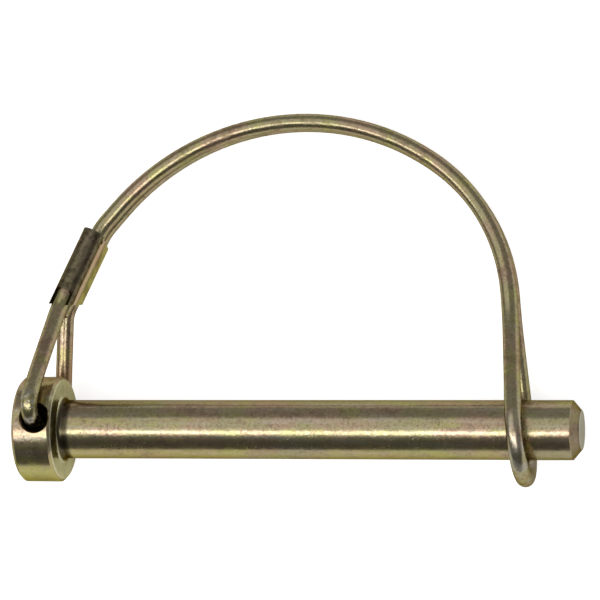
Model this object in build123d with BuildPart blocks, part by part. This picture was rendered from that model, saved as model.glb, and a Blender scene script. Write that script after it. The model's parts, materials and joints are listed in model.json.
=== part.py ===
from build123d import *
from math import cos, pi, radians, sin, tan
import os

# A steel lock pin with a sprung wire bail, lying on its side with +Z up. The pin points along +X with its tip a
# little lower than its head, and the bail arches towards +Y. The origin is the centre of the head's shoulder
# face. Everything is in millimetres and degrees.

# Pin: one turned piece
shank_d = 9.5
shank_l = 85.0
tip_chamfer_side = 1.65
tip_chamfer_along = 1.4
root_fillet = 0.9
head_d = 17.1
head_t = 6.55
head_chamfer = 0.5
cross_hole_d = 4.5
cross_hole_back = 2.65
cross_hole_chamfer = 0.3

# Wire and the spacing of its passes
wire_d = 2.7
wire_back = 3.15
wire_end_round = 0.4
strand_gap = 0.15
sleeve_gap = 0.04

# Legs, from the cross hole to the sleeve
leg_clear = 0.3
leg_bend_r = 2.4
leg_splay = 29.0
leg_knee_x = -3.0
leg_knee_y = 7.4
leg_knee_r = 25.0

# Sleeve crimped round the three passes of wire
sleeve_x = -1.2
sleeve_y = 21.4
sleeve_lean = 22.0
sleeve_l = 12.0
sleeve_sheet = 0.4
sleeve_turn = 5.0
sleeve_lead = 1.5
crease_r = 0.25
crease_depth = 0.25
mouth_depth = 0.8
mouth_wall = 0.25
cheek_l = 1.1
cheek_skew = 16.0
cheek_rise = 15.0
cheek_wall = 0.3
notch_depth = 2.8
notch_corner_r = 0.7
mouth_fall = 7.0
stub_out = 2.4
leg_end_in = 0.9

# Arch and loop
bail_top = 51.6
bail_top_x = 36.6
bail_top_spread = 0.35
crown_corner_x = 28.3
crown_corner_over = 12.1
crown_step = 1.0
shoulder_corner_in = 5.0
shoulder_corner_y = 37.5
loop_from_tip = 9.0
loop_low = 7.7
loop_r = 7.15
loop_splay = 18.0

# How much of a straight run the bend beside it takes up
lead_share = 0.9
crown_share = 0.678
shoulder_top_share = 0.312
shoulder_drop_share = 0.8
flare_drop_share = 0.18
flare_share = 0.5
loop_share = 0.99

# Reach within which an edge counts as lying on a plane
hair = 0.01

# Worked out from the sizes above
shank_r = shank_d / 2
head_r = head_d / 2
wire_r = wire_d / 2
pitch = wire_d + sleeve_gap
strand_z = (wire_d + strand_gap) / 2
loop_x = shank_l - loop_from_tip

# The part lies on three points of the wire: the outside of a leg's bend, the side of the loop and the arch
leg_out = head_r + leg_clear + wire_r
leg_rest = Vector(-wire_back, leg_bend_r, -leg_out)
loop_rest = Vector(loop_x, loop_r - loop_low, -loop_r)
arch_rest = Vector(bail_top_x, bail_top, -strand_z - bail_top_spread)
floor_up = (loop_rest - leg_rest).cross(arch_rest - leg_rest).normalized()
floor_plane = Plane(origin=(0, 0, 0), x_dir=Vector(1, 0, 0) - floor_up * floor_up.X, z_dir=floor_up)

# The plane of the bail and of the pin's axis, placed so that the floor under those three points is level
bail_plane = Plane(
    origin=(0, 0, 0),
    x_dir=floor_plane.to_local_coords(Vector(1, 0, 0)),
    z_dir=floor_plane.to_local_coords(Vector(0, 0, 1)),
)
pin_axis = Axis((0, 0, 0), bail_plane.x_dir)

# Sleeve axis and the row in which the three passes of wire lie side by side, in the bail's plane
sleeve_low = Vector(sleeve_x, sleeve_y, 0)
sleeve_way = Vector(sin(radians(sleeve_lean)), cos(radians(sleeve_lean)), 0)
sleeve_side = Vector(cos(radians(sleeve_lean)), -sin(radians(sleeve_lean)), 0)
row_way = Vector(0, 0, 1) * cos(radians(sleeve_turn)) + sleeve_side * sin(radians(sleeve_turn))
row_step = row_way * pitch


def along_sleeve(distance, passes):
    """A point on the sleeve's axis, or on a pass of wire beside it."""
    return sleeve_low + sleeve_way * distance + row_step * passes


def turn_at(before, corner, after):
    """The angle through which a route turns at a corner, in radians."""
    return radians((corner - before).get_angle(after - corner))


def bend_radius(before, corner, after, tangent):
    """The radius of the arc that meets both runs at this distance from their corner."""
    return tangent / tan(turn_at(before, corner, after) / 2)


# Legs: straight through the cross hole, round a tight bend, out past the head and up to the sleeve
bend_centre_z = leg_out - leg_bend_r
leg_corner_z = bend_centre_z + leg_bend_r * tan(radians(90 + leg_splay) / 2)
leg_knee_z = leg_corner_z - leg_knee_y * tan(radians(leg_splay))
leg_corner = Vector(-wire_back, 0, leg_corner_z)
leg_knee = Vector(leg_knee_x, leg_knee_y, leg_knee_z)
leg_pinch = along_sleeve(-sleeve_lead, 1)

# Loop: two splayed sides and a round bottom that passes under the shank
loop_corner_z = loop_r * tan(radians(90 + loop_splay) / 2)
flare_y = -loop_low + (loop_corner_z - strand_z) / tan(radians(loop_splay))
shoulder_corner_x = loop_x - shoulder_corner_in
drop_slope = shoulder_corner_in / (shoulder_corner_y + loop_low)
flare_x = shoulder_corner_x + (shoulder_corner_y - flare_y) * drop_slope
crown_corner_y = bail_top + crown_corner_over


def strand_points(side, first_pass):
    """The corners of one strand of the arch, from the sleeve to the loop's bottom."""
    return [
        along_sleeve(sleeve_l + sleeve_lead, first_pass),
        Vector(crown_corner_x, crown_corner_y - side * crown_step / 2, side * strand_z),
        Vector(shoulder_corner_x, shoulder_corner_y, side * strand_z),
        Vector(flare_x, flare_y, side * strand_z),
        Vector(loop_x, -loop_low, side * loop_corner_z),
    ]


def strand_bends(points, after_loop):
    """The radius at each corner of one strand."""
    sleeve_end, crown, shoulder, flare, loop = points
    start = sleeve_end - sleeve_way
    first_run = (crown - sleeve_end).length
    top_run = (shoulder - crown).length
    drop_run = (flare - shoulder).length
    flare_run = (loop - flare).length
    crown_tangent = min(first_run - sleeve_lead, crown_share * top_run)
    shoulder_tangent = min(shoulder_top_share * top_run, shoulder_drop_share * drop_run)
    flare_tangent = min(flare_drop_share * drop_run, flare_share * flare_run)
    return [
        bend_radius(start, sleeve_end, crown, lead_share * sleeve_lead),
        bend_radius(sleeve_end, crown, shoulder, crown_tangent),
        bend_radius(crown, shoulder, flare, shoulder_tangent),
        bend_radius(shoulder, flare, loop, flare_tangent),
        bend_radius(flare, loop, after_loop, loop_share * loop_corner_z),
    ]


def mirrored(point):
    """The same point on the other side of the bail's plane."""
    return Vector(point.X, point.Y, -point.Z)


front_strand = strand_points(1, 0)
back_strand = strand_points(-1, -1)
front_bends = strand_bends(front_strand, back_strand[-1])
back_bends = strand_bends(back_strand, front_strand[-1])
back_pinch = along_sleeve(-sleeve_lead, -1)

wire_points = [
    along_sleeve(-stub_out, 0),
    *front_strand,
    *reversed(back_strand),
    back_pinch,
    mirrored(leg_knee),
    mirrored(leg_corner),
    leg_corner,
    leg_knee,
    leg_pinch,
    along_sleeve(sleeve_l - leg_end_in, 1),
]
back_pinch_r = bend_radius(back_strand[0], back_pinch, mirrored(leg_knee), lead_share * sleeve_lead)
front_pinch_r = bend_radius(leg_knee, leg_pinch, wire_points[-1], lead_share * sleeve_lead)
wire_bends = [
    *front_bends,
    *reversed(back_bends),
    back_pinch_r,
    leg_knee_r,
    leg_bend_r,
    leg_bend_r,
    leg_knee_r,
    front_pinch_r,
]

# Pin: head, shank and chamfered tip turned in one piece, and a cross hole drilled through the head
with BuildPart() as pin:
    with BuildSketch(bail_plane):
        with BuildLine():
            Polyline(
                (-head_t, 0),
                (-head_t, head_r),
                (0, head_r),
                (0, shank_r),
                (shank_l - tip_chamfer_along, shank_r),
                (shank_l, shank_r - tip_chamfer_side),
                (shank_l, 0),
                close=True,
            )
        make_face()
    revolve(axis=pin_axis)
    rims = pin.edges().filter_by(GeomType.CIRCLE)
    chamfer(rims.group_by(SortBy.RADIUS)[-1], head_chamfer)
    roots = pin.edges().filter_by(GeomType.CIRCLE).filter_by_position(pin_axis, -hair, hair)
    fillet(roots.sort_by(SortBy.RADIUS)[0], root_fillet)
    with BuildSketch(bail_plane):
        with Locations((-cross_hole_back, 0)):
            Circle(cross_hole_d / 2)
    extrude(amount=head_d, both=True, mode=Mode.SUBTRACT)
    hole_rims = pin.edges().filter_by(GeomType.BSPLINE)
    chamfer(hole_rims, cross_hole_chamfer)
pin.part.label = "pin"

# Wire bail: one wire from the stub under the sleeve, round the loop, through the head and back to the sleeve
with BuildPart() as wire_bail:
    with BuildLine() as wire_route:
        FilletPolyline([bail_plane.from_local_coords(point) for point in wire_points], radius=wire_bends)
    with BuildSketch(Plane(origin=wire_route.line @ 0, z_dir=wire_route.line % 0)):
        Circle(wire_r)
    sweep(path=wire_route.line)
    wire_ends = wire_bail.faces().filter_by(GeomType.PLANE)
    fillet(wire_ends.edges(), wire_end_round)
wire_bail.part.label = "wire_bail"

# Sleeve: a strip crimped round the three passes, with a crease beside the leg's end
sleeve_plane = Plane(
    origin=bail_plane.from_local_coords(sleeve_low),
    x_dir=bail_plane.from_local_coords(row_way),
    z_dir=bail_plane.from_local_coords(sleeve_way),
)
sleeve_r = wire_r + sleeve_gap + sleeve_sheet
crease_x = pitch / 2
valley = (sleeve_r**2 - crease_x**2) ** 0.5

half_row = pitch + sleeve_r
cheek_reach = sleeve_r * tan(radians(cheek_skew)) + half_row * tan(radians(cheek_rise))
mouth_reach = half_row * tan(radians(mouth_fall))
sleeve_start = -cheek_l - cheek_reach
sleeve_whole = sleeve_l + mouth_reach - sleeve_start
cheek_mid = -cheek_l + pitch * tan(radians(cheek_rise))


def end_cut(distance, row_slope, side_slope):
    """A plane across the sleeve whose height falls along the row and rises to the tip's side."""
    down_row = row_way - sleeve_way * tan(radians(row_slope))
    up_side = sleeve_side + sleeve_way * tan(radians(side_slope))
    return Plane(
        origin=bail_plane.from_local_coords(along_sleeve(distance, 0)),
        x_dir=bail_plane.from_local_coords(down_row),
        z_dir=bail_plane.from_local_coords(down_row.cross(up_side)),
    )


cheek_cut = end_cut(cheek_mid, cheek_rise, cheek_skew)
mouth_cut = end_cut(sleeve_l - pitch * tan(radians(mouth_fall)), -mouth_fall, 0)
notch_plane = Plane(
    origin=cheek_cut.origin,
    x_dir=bail_plane.from_local_coords(sleeve_side),
    z_dir=cheek_cut.x_dir,
)

with BuildPart() as ferrule:
    with BuildSketch(sleeve_plane.offset(sleeve_start)):
        with Locations((pitch, 0)):
            Circle(sleeve_r)
        with Locations((-pitch / 2, 0)):
            SlotCenterToCenter(pitch, 2 * sleeve_r)
        with Locations((crease_x, valley + crease_r - crease_depth), (crease_x, crease_depth - crease_r - valley)):
            Circle(crease_r, mode=Mode.SUBTRACT)
    extrude(amount=sleeve_whole)
    with BuildSketch(sleeve_plane.offset(sleeve_start)):
        with GridLocations(pitch, 0, 3, 1):
            Circle(wire_r + sleeve_gap)
    extrude(amount=sleeve_whole, mode=Mode.SUBTRACT)
    split(bisect_by=mouth_cut, keep=Keep.BOTTOM)
    with BuildSketch(mouth_cut):
        SlotCenterToCenter(2 * pitch, 2 * (sleeve_r - mouth_wall))
    extrude(amount=-mouth_depth, mode=Mode.SUBTRACT)
    split(bisect_by=cheek_cut, keep=Keep.TOP)
    with BuildSketch(notch_plane):
        RectangleRounded(2 * (sleeve_r - cheek_wall), 2 * notch_depth, notch_corner_r)
    extrude(amount=2 * half_row, both=True, mode=Mode.SUBTRACT)
ferrule.part.label = "ferrule"

os.makedirs("parts", exist_ok=True)
for piece in (pin, wire_bail, ferrule):
    export_step(piece.part, f"parts/{piece.part.label}.step")

wire_length = sum(edge.length for edge in wire_route.edges())
print("wire", round(wire_length, 1), "mm, filled", round(wire_bail.part.volume / (pi * wire_r**2 * wire_length), 4))
print("pin points along", pin_axis.direction, "and the bail turns about", bail_plane.z_dir)
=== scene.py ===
import json
import math

import bpy
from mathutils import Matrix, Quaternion, Vector


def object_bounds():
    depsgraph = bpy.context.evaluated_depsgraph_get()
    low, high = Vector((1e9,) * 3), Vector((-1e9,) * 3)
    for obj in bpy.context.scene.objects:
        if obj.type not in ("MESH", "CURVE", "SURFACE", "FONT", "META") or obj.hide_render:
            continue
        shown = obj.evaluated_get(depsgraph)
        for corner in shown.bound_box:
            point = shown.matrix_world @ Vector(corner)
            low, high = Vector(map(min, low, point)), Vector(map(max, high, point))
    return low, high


# Wire lock pin with a sprung bail, plated yellow, lying on a pale floor.
# Units are metres, and angles are degrees.
# The frame is the CAD's: the shank points along +X, the arch of the bail towards +Y, +Z is up.

bl_info = {
    "name": "Wire lock pin",
    "version": (1, 0, 0),
    "blender": (4, 5, 0),
    "location": "View3D > Sidebar > Lock pin",
    "description": "Dresses the lock pin's solids in plated steel and lights them",
    "category": "Object",
}

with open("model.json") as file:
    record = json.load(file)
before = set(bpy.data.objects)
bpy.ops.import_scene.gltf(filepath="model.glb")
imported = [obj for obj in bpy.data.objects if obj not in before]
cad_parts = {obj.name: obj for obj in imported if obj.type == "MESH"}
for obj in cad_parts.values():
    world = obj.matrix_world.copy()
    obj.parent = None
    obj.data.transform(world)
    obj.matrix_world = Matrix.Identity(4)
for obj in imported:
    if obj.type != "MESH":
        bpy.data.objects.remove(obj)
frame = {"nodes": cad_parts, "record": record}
cad_low, cad_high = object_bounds()
hinge = frame["record"]["behaviour"]["joints"][0]
shank = frame["record"]["mounts"][0]
PIN_WAY = Vector(shank["axis"]).normalized()
SHANK_R = shank["dims"]["r_mm"] / 1000
BAIL_UP = Vector(hinge["axis"]).normalized()
BAIL_OUT = BAIL_UP.cross(PIN_WAY)

# The pin, measured from the shoulder's centre
SHANK_L = 0.085
HEAD_R = 0.00855
HEAD_T = 0.00655
TIP_CHAMFER = 0.0014
ROOT_FILLET = 0.0009
HOLE_BACK = 0.00265
HOLE_R = 0.00225
YELLOW_FROM = 0.003

# The loop round the tip, the bend over the head and the rear leg
LOOP_X = 0.076
LOOP_IN = 0.006
LOOP_REACH = 0.014
BEND_UP = 0.0105
BEND_BACK = 0.003
BEND_REACH = 0.005
LEG_DOWN = 0.003
LEG_ALONG = 0.004

# The leg's lobe of the sleeve, measured along the hinge
LOBE_LOW = 0.0013
LOBE_HIGH = 0.0021

# The unit in which the painted edges' widths are given
HAIR = 0.0001

# Stage
FLOOR_HALF = 3.0
LAMP_DISTANCE = 0.8
LAMP_Y = 0.02
LAMPS_LEFT = -1.10
LAMPS_MEET = 0.13
LAMPS_RIGHT = 0.46
CAMERA_PLACE = (0.18714, -0.047919, 0.533519)
CAMERA_TURN = (7.4145, 15.3259, 1.2956)
SENSOR_MM = 36.0

OLIVE = (0.385, 0.34, 0.19)
ROSE = (0.45, 0.325, 0.215)
LIME = (0.42, 0.40, 0.155)
YELLOW = (0.52, 0.48, 0.15)
PALE_YELLOW = (0.72, 0.67, 0.27)
PALE_ROSE = (0.62, 0.43, 0.27)
RED = (0.46, 0.27, 0.17)
BROWN = (0.20, 0.145, 0.09)
STEEL = (0.55, 0.53, 0.46)
# The darkest tone: dirt in pits, the tip's dark lip, and painted shade at the shank's root, within the
# cross hole and on the sleeve's lobe
SOOT_AND_SHADE = (0.03, 0.022, 0.015)
PALE_SHEEN = (0.85, 0.83, 0.54)
LOBE_SHADE = (0.115, 0.095, 0.062)
CUT_STEEL = (0.80, 0.80, 0.72)
GRAZING = (0.42, 0.38, 0.24)


class Value:
    """One number socket of a node tree, with the arithmetic of a Python number."""

    def __init__(self, tree, socket):
        self.tree = tree
        self.socket = socket

    def _math(self, operation, *others):
        node = self.tree.nodes.new("ShaderNodeMath")
        node.operation = operation
        for place, value in enumerate((self, *others)):
            if isinstance(value, Value):
                self.tree.links.new(value.socket, node.inputs[place])
            else:
                node.inputs[place].default_value = value
        return Value(self.tree, node.outputs[0])

    def __add__(self, other):
        return self._math("ADD", other)

    __radd__ = __add__

    def __sub__(self, other):
        return self._math("SUBTRACT", other)

    def __rsub__(self, other):
        return self._math("MULTIPLY_ADD", -1.0, other)

    def __mul__(self, other):
        return self._math("MULTIPLY", other)

    __rmul__ = __mul__

    def __truediv__(self, other):
        return self._math("DIVIDE", other)

    def __pow__(self, other):
        return self._math("POWER", other)

    def root(self):
        """Square root."""
        return self._math("SQRT")

    def highest(self, other):
        """The larger of the two."""
        return self._math("MAXIMUM", other)

    def step(self, low, high):
        """0 below low, 1 above high and a smooth rise between. With low above high it falls."""
        falls = low > high
        node = self.tree.nodes.new("ShaderNodeMapRange")
        node.interpolation_type = "SMOOTHSTEP"
        self.tree.links.new(self.socket, node.inputs["Value"])
        node.inputs["From Min"].default_value = min(low, high)
        node.inputs["From Max"].default_value = max(low, high)
        node.inputs["To Min"].default_value = 1.0 if falls else 0.0
        node.inputs["To Max"].default_value = 0.0 if falls else 1.0
        return Value(self.tree, node.outputs["Result"])


class Shader:
    """A node tree and the few ways this scene fills it."""

    def __init__(self, tree):
        self.tree = tree
        tree.nodes.clear()

    def node(self, kind, settings=None, **sockets):
        """A node with its settings and its sockets filled from numbers, colours or other sockets."""
        node = self.tree.nodes.new(kind)
        for name, value in (settings or {}).items():
            setattr(node, name, value)
        for name, value in sockets.items():
            self.fill(node.inputs[name.replace("_", " ")], value)
        return node

    def fill(self, socket, value):
        """Links a socket, or sets its own value."""
        if isinstance(value, Value):
            self.tree.links.new(value.socket, socket)
        elif isinstance(value, bpy.types.NodeSocket):
            self.tree.links.new(value, socket)
        elif hasattr(value, "__len__") and len(value) == 3 and socket.type == "RGBA":
            socket.default_value = (*value, 1.0)
        else:
            socket.default_value = value

    def place(self):
        """The point being shaded, in the frame."""
        return self.node("ShaderNodeTexCoord").outputs["Object"]

    def along(self, point, way):
        """How far a point lies along a direction."""
        node = self.node("ShaderNodeVectorMath", {"operation": "DOT_PRODUCT"})
        self.fill(node.inputs[0], point)
        self.fill(node.inputs[1], tuple(way))
        return Value(self.tree, node.outputs["Value"])

    def away(self, point, centre):
        """How far a point lies from another."""
        node = self.node("ShaderNodeVectorMath", {"operation": "DISTANCE"})
        self.fill(node.inputs[0], point)
        self.fill(node.inputs[1], tuple(centre))
        return Value(self.tree, node.outputs["Value"])

    def scaled(self, point, factor):
        """A point with its coordinates multiplied."""
        node = self.node("ShaderNodeVectorMath", {"operation": "SCALE"}, Vector=point, Scale=factor)
        return node.outputs[0]

    def vector(self, x, y, z):
        """Three numbers as a vector."""
        return self.node("ShaderNodeCombineXYZ", None, X=x, Y=y, Z=z).outputs[0]

    def noise(self, point, scale, detail=3.0, roughness=0.55):
        """Noise between 0 and 1, about 0.5."""
        node = self.node("ShaderNodeTexNoise", None, Vector=point, Scale=scale)
        self.fill(node.inputs["Detail"], detail)
        self.fill(node.inputs["Roughness"], roughness)
        return Value(self.tree, node.outputs[0])

    def cells(self, point, scale):
        """Distance to the nearest of the scattered points, in units of their spacing."""
        node = self.node("ShaderNodeTexVoronoi", None, Vector=point, Scale=scale)
        return Value(self.tree, node.outputs["Distance"])

    def mix(self, share, first, second):
        """The first colour, turning to the second as share goes from 0 to 1."""
        node = self.tree.nodes.new("ShaderNodeMix")
        node.data_type = "RGBA"
        node.clamp_factor = True
        sockets = [s for s in node.inputs if s.enabled]
        self.fill(sockets[0], share)
        self.fill(sockets[1], first)
        self.fill(sockets[2], second)
        return [s for s in node.outputs if s.enabled][0]

    def bump(self, height, depth):
        """A normal from a height without units and the depth that a height of 1 stands for."""
        node = self.node("ShaderNodeBump", None, Height=height, Distance=depth, Strength=1.0)
        return node.outputs["Normal"]


def blank(name):
    """A new material with an empty tree."""
    material = bpy.data.materials.new(name)
    material.use_nodes = True
    return material, Shader(material.node_tree)


def metal(shader, colour, roughness, normal):
    """The plated steel's surface."""
    surface = shader.node("ShaderNodeBsdfPrincipled", None, Metallic=1.0, Specular_Tint=GRAZING)
    shader.fill(surface.inputs["Base Color"], colour)
    shader.fill(surface.inputs["Roughness"], roughness)
    shader.fill(surface.inputs["Normal"], normal)
    out = shader.node("ShaderNodeOutputMaterial")
    shader.tree.links.new(surface.outputs[0], out.inputs["Surface"])


def plating(shader, point, patches, grain):
    """The plating all pieces share: patches of tint, small stains and pits, a fine grain and slow waves."""
    broad = shader.noise(patches, 1.0, 3.0, 0.6)
    tint = shader.noise(patches, 2.3, 2.0, 0.5)
    cloud = shader.noise(point, 420.0, 4.0, 0.6)
    fine = shader.noise(grain, 1.0, 3.0, 0.6)
    waves = shader.noise(point, 650.0, 1.0, 0.4) + 0.45 * shader.noise(point, 1900.0, 2.0, 0.5)
    colour = shader.mix((broad + 0.25 * (cloud - 0.5)).step(0.38, 0.62), OLIVE, ROSE)
    colour = shader.mix(0.75 * (tint + 0.2 * (cloud - 0.5)).step(0.48, 0.70), colour, LIME)
    stain = (shader.noise(point, 760.0, 5.0, 0.7) + 0.5 * (broad - 0.5)).step(0.54, 0.70)
    colour = shader.mix(0.55 * stain, colour, BROWN)
    speckle = shader.noise(point, 2300.0, 3.0, 0.7)
    colour = shader.mix(0.5 * speckle.step(0.50, 0.68), colour, BROWN)
    colour = shader.mix(0.4 * speckle.step(0.46, 0.30), colour, STEEL)
    pits = shader.cells(point, 1500.0).step(0.20, 0.06)
    pits = pits * shader.noise(point, 210.0, 1.0).step(0.46, 0.58)
    colour = shader.mix(0.6 * pits, colour, SOOT_AND_SHADE)
    return colour, cloud, fine, waves, pits


def pin_finish(settings):
    """The head's and shank's plating: fine lines round the axis, painted shade at the root and in the cross
    hole, painted reflection of the floor on the -Y side, a pale painted sheen on the shoulder's face and a
    pale, cut tip.
    """
    material, shader = blank("pin_plated_steel")
    point = shader.place()
    along = shader.along(point, PIN_WAY)
    out = shader.along(point, BAIL_OUT)
    up = shader.along(point, BAIL_UP)
    radius = (out * out + up * up).root()

    def stretched(lengthwise, across):
        """The point, drawn out along the pin or round it."""
        return shader.vector(along * lengthwise, out * across, up * across)

    streaks = stretched(5200.0, 260.0)
    patches = stretched(95.0, 230.0)
    colour, cloud, fine, waves, pits = plating(shader, point, patches, streaks)
    drawn = shader.noise(stretched(60.0, 1100.0), 1.0, 3.0).step(0.5, 0.7)
    colour = shader.mix(0.30 * drawn, colour, STEEL)

    # Painted reflection of the floor: yellow on the -Y side, the head's round side, and patches of the
    # shank
    under = (out / radius.highest(10 * HAIR)).step(-0.6, -0.85)
    head = along.step(0.0, -4 * HAIR) * radius.step(0.93 * HEAD_R, 0.97 * HEAD_R)
    stretch = along.step(0.0, YELLOW_FROM)
    stretch = stretch * along.step(SHANK_L - TIP_CHAMFER, SHANK_L - 3 * TIP_CHAMFER)
    patch = shader.noise(stretched(60.0, 60.0), 1.0, 2.0).step(0.44, 0.58)
    painted_floor_reflection = under * (0.7 * head + 0.4 * stretch * patch) * cloud.step(0.25, 0.55)
    colour = shader.mix(painted_floor_reflection, colour, YELLOW)

    # The shoulder's face is painted pale, a painted sheen, and the fillet at the shank's root is painted
    # dark, a painted shade in the corner
    face = along.step(-2 * HAIR, 0.0) * along.step(3 * HAIR, HAIR)
    colour = shader.mix(0.6 * face + 0.3 * face * cloud.step(0.3, 0.6), colour, PALE_SHEEN)
    root = radius.step(SHANK_R + 0.7 * ROOT_FILLET, SHANK_R + 0.3 * ROOT_FILLET)
    root = root * along.step(2.4 * ROOT_FILLET, 1.6 * ROOT_FILLET) * along.step(-3 * HAIR, -HAIR)
    colour = shader.mix(0.82 * root, colour, SOOT_AND_SHADE)

    # The tip: brown chamfer, dark lip, bare cut end
    edge = SHANK_L - TIP_CHAMFER
    chamfer = along.step(edge, edge + 1.5 * HAIR)
    colour = shader.mix(0.6 * chamfer, colour, BROWN)
    tip = along.step(SHANK_L - 0.6 * HAIR, SHANK_L - 0.2 * HAIR)
    lip = along.step(SHANK_L - 4 * HAIR, SHANK_L - 2 * HAIR)
    colour = shader.mix(0.9 * tip, shader.mix(0.25 * lip, colour, SOOT_AND_SHADE), CUT_STEEL)

    # The head's worn outer edge, and painted shade within its cross hole
    rim = radius.step(HEAD_R - 6 * HAIR, HEAD_R - HAIR) * along.step(6 * HAIR - HEAD_T, -HEAD_T)
    colour = shader.mix(0.5 * rim * cloud.step(0.4, 0.6), colour, STEEL)
    bore = (out * out + (along + HOLE_BACK) ** 2.0).root().step(HOLE_R + 4 * HAIR, HOLE_R + HAIR)
    hole_painted_shade = bore * along.step(-4 * HAIR, -6 * HAIR)
    colour = shader.mix(0.75 * hole_painted_shade, colour, SOOT_AND_SHADE)

    roughness = settings.gloss_roughness + 0.14 * (fine - 0.5) + 0.16 * (cloud - 0.5)
    roughness = roughness + 0.2 * pits + 0.12 * tip
    height = 0.3 * fine + 0.3 * cloud + 1.3 * waves - 0.6 * pits
    metal(shader, colour, roughness, shader.bump(height, settings.grain_depth))
    return material


def wire_finish(settings):
    """The wire's plating: scuffed in places, red on the rear leg, nicked at the bend, worn at the loop."""
    material, shader = blank("wire_plated_steel")
    point = shader.place()
    grain = shader.scaled(point, 1400.0)
    patches = shader.scaled(point, 130.0)
    colour, cloud, fine, waves, pits = plating(shader, point, patches, grain)
    scuff = shader.noise(point, 420.0, 2.0).step(0.52, 0.64)
    scuff = scuff * shader.noise(point, 90.0, 1.0).step(0.45, 0.6)
    colour = shader.mix(0.5 * scuff, colour, BROWN)
    rear_leg = shader.along(point, BAIL_UP).step(-LEG_DOWN, -2 * LEG_DOWN)
    rear_leg = rear_leg * shader.along(point, PIN_WAY).step(LEG_ALONG, LEG_ALONG / 4)
    colour = shader.mix(0.75 * rear_leg * cloud.step(0.25, 0.45), colour, RED)
    loop_centre = PIN_WAY * LOOP_X - BAIL_OUT * LOOP_IN
    loop = shader.away(point, loop_centre).step(LOOP_REACH, LOOP_REACH / 2)
    colour = shader.mix(0.5 * loop * cloud.step(0.40, 0.56), colour, STEEL)
    bend_centre = BAIL_UP * BEND_UP - PIN_WAY * BEND_BACK
    bend = shader.away(point, bend_centre).step(BEND_REACH, BEND_REACH / 2)
    nick = bend * shader.noise(point, 900.0, 2.0).step(0.53, 0.6)
    colour = shader.mix(0.7 * nick, colour, STEEL)
    roughness = settings.gloss_roughness + 0.04 + 0.2 * (cloud - 0.5) + 0.2 * pits + 0.1 * scuff
    height = 0.25 * fine + 0.35 * cloud + 1.3 * waves - 0.6 * pits - 0.7 * scuff - 2.0 * nick
    metal(shader, colour, roughness, shader.bump(height, settings.grain_depth))
    return material


def ferrule_finish(settings):
    """The sleeve's plating: duller than the wire, with painted shade on the leg's lobe and a painted
    reflection, pale yellow and rose, below it.
    """
    material, shader = blank("ferrule_plated_steel")
    point = shader.place()
    grain = shader.scaled(point, 2100.0)
    patches = shader.scaled(point, 210.0)
    colour, cloud, fine, waves, pits = plating(shader, point, patches, grain)
    over = shader.along(point, BAIL_UP) + 10 * HAIR * (cloud - 0.5)
    lobe = over.step(LOBE_LOW, LOBE_HIGH)
    # Painted reflection: pale yellow and rose on the sleeve below the leg's lobe
    bright = over.step(2 * HAIR, -8 * HAIR) * shader.noise(point, 330.0, 3.0, 0.6).step(0.38, 0.56)
    colour = shader.mix(0.8 * bright, colour, PALE_YELLOW)
    colour = shader.mix(0.7 * over.step(-2 * HAIR, 6 * HAIR) * (1.0 - lobe), colour, PALE_ROSE)
    # Painted shade: the leg's lobe is painted dark and mottled darker
    colour = shader.mix(0.8 * lobe, colour, LOBE_SHADE)
    shade_mottle = shader.noise(point, 1100.0, 4.0, 0.7) + 0.3 * (cloud - 0.5)
    painted_shade_mottle = lobe * shade_mottle.step(0.46, 0.62)
    colour = shader.mix(0.6 * painted_shade_mottle, colour, SOOT_AND_SHADE)
    roughness = settings.gloss_roughness + 0.08 + 0.2 * (cloud - 0.5) + 0.2 * pits
    height = 0.4 * fine + 1.0 * cloud + 1.0 * waves - 1.2 * pits
    metal(shader, colour, roughness, shader.bump(height, settings.grain_depth * 1.3))
    return material


def dress(node, material):
    """Puts a material on every slot of a CAD node."""
    piece = frame["nodes"][node]
    if not piece.material_slots:
        piece.data.materials.append(material)
    for holder in piece.material_slots:
        holder.material = material


class PinSettings(bpy.types.PropertyGroup):
    """Finish of the three steel pieces."""

    gloss_roughness: bpy.props.FloatProperty(
        name="Gloss roughness",
        description="Roughness of clean plating",
        default=0.23,
        min=0.05,
        max=0.9,
    )
    grain_depth: bpy.props.FloatProperty(
        name="Grain depth",
        description="Depth of the plating's grain",
        default=0.00002,
        unit="LENGTH",
        precision=6,
    )


class StageSettings(bpy.types.PropertyGroup):
    """Floor, lights and camera."""

    floor_tone: bpy.props.FloatProperty(
        name="Floor tone",
        description="Grey level of the floor",
        default=0.86,
        min=0.0,
        max=1.0,
    )
    floor_lift: bpy.props.FloatProperty(
        name="Floor lift",
        description="Light the floor adds of its own to look white",
        default=0.72,
        min=0.0,
        max=1.0,
    )
    mirror_share: bpy.props.FloatProperty(
        name="Mirror share",
        description="Share of the floor's lift seen in metal",
        default=0.34,
        min=0.0,
        max=1.0,
    )
    strip_glow: bpy.props.FloatProperty(
        name="Strip glow",
        description="Brightness of the narrow lamp in a mirror",
        default=4.0,
        min=0.0,
    )
    side_glow: bpy.props.FloatProperty(
        name="Side glow",
        description="Brightness of the lamp on the tip's side in a mirror",
        default=3.4,
        min=0.0,
    )
    canopy_glow: bpy.props.FloatProperty(
        name="Canopy glow",
        description="Brightness of the broad lamp in a mirror",
        default=0.58,
        min=0.0,
    )
    near_tone: bpy.props.FloatProperty(
        name="Near tone",
        description="Grey of the surround on the -Y side",
        default=0.10,
        min=0.0,
        max=1.0,
    )
    far_tone: bpy.props.FloatProperty(
        name="Far tone",
        description="Grey of the surround on the +Y side",
        default=0.30,
        min=0.0,
        max=1.0,
    )
    lens: bpy.props.FloatProperty(
        name="Lens",
        description="Focal length in millimetres",
        default=208.26,
    )


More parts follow.
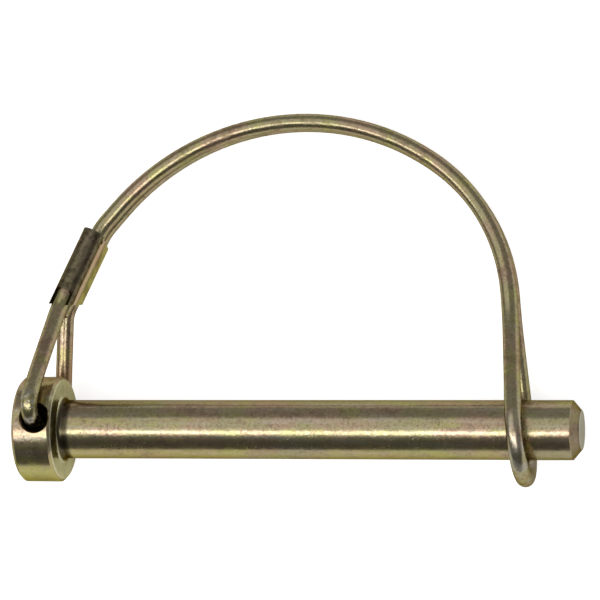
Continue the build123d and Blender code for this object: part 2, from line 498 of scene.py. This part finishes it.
class LOCKPIN_OT_pin(bpy.types.Operator):
    """Plate the pin"""

    bl_idname = "lockpin.pin"
    bl_label = "Plate pin"

    def execute(self, context):
        dress("pin", pin_finish(context.scene.lockpin_finish))
        return {"FINISHED"}


class LOCKPIN_OT_bail(bpy.types.Operator):
    """Plate the wire bail"""

    bl_idname = "lockpin.bail"
    bl_label = "Plate bail"

    def execute(self, context):
        dress("wire_bail", wire_finish(context.scene.lockpin_finish))
        return {"FINISHED"}


class LOCKPIN_OT_ferrule(bpy.types.Operator):
    """Plate the crimped sleeve"""

    bl_idname = "lockpin.ferrule"
    bl_label = "Plate sleeve"

    def execute(self, context):
        dress("ferrule", ferrule_finish(context.scene.lockpin_finish))
        return {"FINISHED"}


def add_floor(settings, height):
    """A wide pale floor, lifted to white for the camera and by a share in the metal."""
    mesh = bpy.data.meshes.new("floor")
    corners = [(-1, -1), (1, -1), (1, 1), (-1, 1)]
    corners = [(x * FLOOR_HALF, y * FLOOR_HALF, height) for x, y in corners]
    mesh.from_pydata(corners, [], [(0, 1, 2, 3)])
    floor = bpy.data.objects.new("floor", mesh)
    bpy.context.collection.objects.link(floor)
    material, shader = blank("floor_white")
    matte = shader.node("ShaderNodeBsdfDiffuse", None, Color=(settings.floor_tone,) * 3)
    white = shader.node("ShaderNodeEmission", None, Color=(1.0, 1.0, 1.0), Strength=settings.floor_lift)
    lifted = shader.node("ShaderNodeAddShader")
    shader.tree.links.new(matte.outputs[0], lifted.inputs[0])
    shader.tree.links.new(white.outputs[0], lifted.inputs[1])
    rays = shader.node("ShaderNodeLightPath")
    camera = Value(shader.tree, rays.outputs["Is Camera Ray"])
    glossy = Value(shader.tree, rays.outputs["Is Glossy Ray"])
    through = Value(shader.tree, rays.outputs["Is Transmission Ray"])
    seen = camera.highest(settings.mirror_share * glossy.highest(through))
    blend = shader.node("ShaderNodeMixShader")
    shader.fill(blend.inputs[0], seen)
    shader.tree.links.new(matte.outputs[0], blend.inputs[1])
    shader.tree.links.new(lifted.outputs[0], blend.inputs[2])
    out = shader.node("ShaderNodeOutputMaterial")
    shader.tree.links.new(blend.outputs[0], out.inputs["Surface"])
    mesh.materials.append(material)


def add_panel(name, glow, lean, swing, deep, left, right):
    """A lamp over the part from x left to x right, leaning towards -Y, as bright in a mirror as glow."""
    data = bpy.data.lights.new(name, "AREA")
    data.shape = "RECTANGLE"
    data.size = right - left
    data.size_y = deep
    data.energy = math.pi * data.size * deep * glow
    lamp = bpy.data.objects.new(name, data)
    turn = math.radians(lean)
    way = Vector((0.0, -math.sin(turn), math.cos(turn)))
    lamp.location = Vector(((left + right) / 2, LAMP_Y, 0.0)) + way * LAMP_DISTANCE
    swung = Quaternion((0, 0, 1), math.radians(swing))
    lamp.rotation_euler = (way.to_track_quat("Z", "Y") @ swung).to_euler()
    bpy.context.collection.objects.link(lamp)


def add_world(settings):
    """A plain grey surround, darker on the -Y side."""
    world = bpy.data.worlds.new("studio")
    world.use_nodes = True
    shader = Shader(world.node_tree)
    sky = shader.node("ShaderNodeTexCoord").outputs["Generated"]
    far_side = shader.along(sky, (0.0, 1.0, 0.25))
    dark, pale = settings.near_tone, settings.far_tone
    tone = shader.mix(far_side.step(-0.75, 0.45), (dark,) * 3, (pale,) * 3)
    back = shader.node("ShaderNodeBackground", None, Color=tone, Strength=1.0)
    out = shader.node("ShaderNodeOutputWorld")
    shader.tree.links.new(back.outputs[0], out.inputs["Surface"])
    bpy.context.scene.world = world


def add_camera(settings):
    """A camera fitted to the photograph's view."""
    data = bpy.data.cameras.new("photo_camera")
    data.lens = settings.lens
    data.sensor_width = SENSOR_MM
    data.clip_start = 0.01
    camera = bpy.data.objects.new("photo_camera", data)
    camera.location = CAMERA_PLACE
    camera.rotation_euler = [math.radians(angle) for angle in CAMERA_TURN]
    bpy.context.collection.objects.link(camera)
    bpy.context.scene.camera = camera


class LOCKPIN_OT_stage(bpy.types.Operator):
    """Add the floor, the lamps and the camera"""

    bl_idname = "lockpin.stage"
    bl_label = "Add stage"

    def execute(self, context):
        settings = context.scene.lockpin_stage
        add_floor(settings, cad_low[2])
        add_world(settings)
        over_part = {"left": LAMPS_LEFT, "right": LAMPS_MEET}
        past_tip = {"left": LAMPS_MEET, "right": LAMPS_RIGHT}
        add_panel("strip", settings.strip_glow, lean=16.0, swing=-6.0, deep=0.185, **over_part)
        add_panel("side", settings.side_glow, lean=17.0, swing=0.0, deep=0.36, **past_tip)
        add_panel("canopy", settings.canopy_glow, lean=-15.0, swing=0.0, deep=0.72, **over_part)
        add_camera(settings)
        context.scene.view_settings.view_transform = "Standard"
        return {"FINISHED"}


class LOCKPIN_PT_panel(bpy.types.Panel):
    """Buttons that dress the lock pin"""

    bl_idname = "LOCKPIN_PT_panel"
    bl_label = "Lock pin"
    bl_space_type = "VIEW_3D"
    bl_region_type = "UI"
    bl_category = "Lock pin"

    def draw(self, context):
        column = self.layout.column()
        for settings in (context.scene.lockpin_finish, context.scene.lockpin_stage):
            for name in settings.__annotations__:
                column.prop(settings, name)
        for operator in (LOCKPIN_OT_pin, LOCKPIN_OT_bail, LOCKPIN_OT_ferrule, LOCKPIN_OT_stage):
            column.operator(operator.bl_idname)


classes = (
    PinSettings,
    StageSettings,
    LOCKPIN_OT_pin,
    LOCKPIN_OT_bail,
    LOCKPIN_OT_ferrule,
    LOCKPIN_OT_stage,
    LOCKPIN_PT_panel,
)


def register():
    for kind in classes:
        bpy.utils.register_class(kind)
    bpy.types.Scene.lockpin_finish = bpy.props.PointerProperty(type=PinSettings)
    bpy.types.Scene.lockpin_stage = bpy.props.PointerProperty(type=StageSettings)


def unregister():
    del bpy.types.Scene.lockpin_stage
    del bpy.types.Scene.lockpin_finish
    for kind in reversed(classes):
        bpy.utils.unregister_class(kind)


def main():
    register()
    bpy.ops.lockpin.pin()
    bpy.ops.lockpin.bail()
    bpy.ops.lockpin.ferrule()
    bpy.ops.lockpin.stage()


if __name__ == "__main__":
    main()
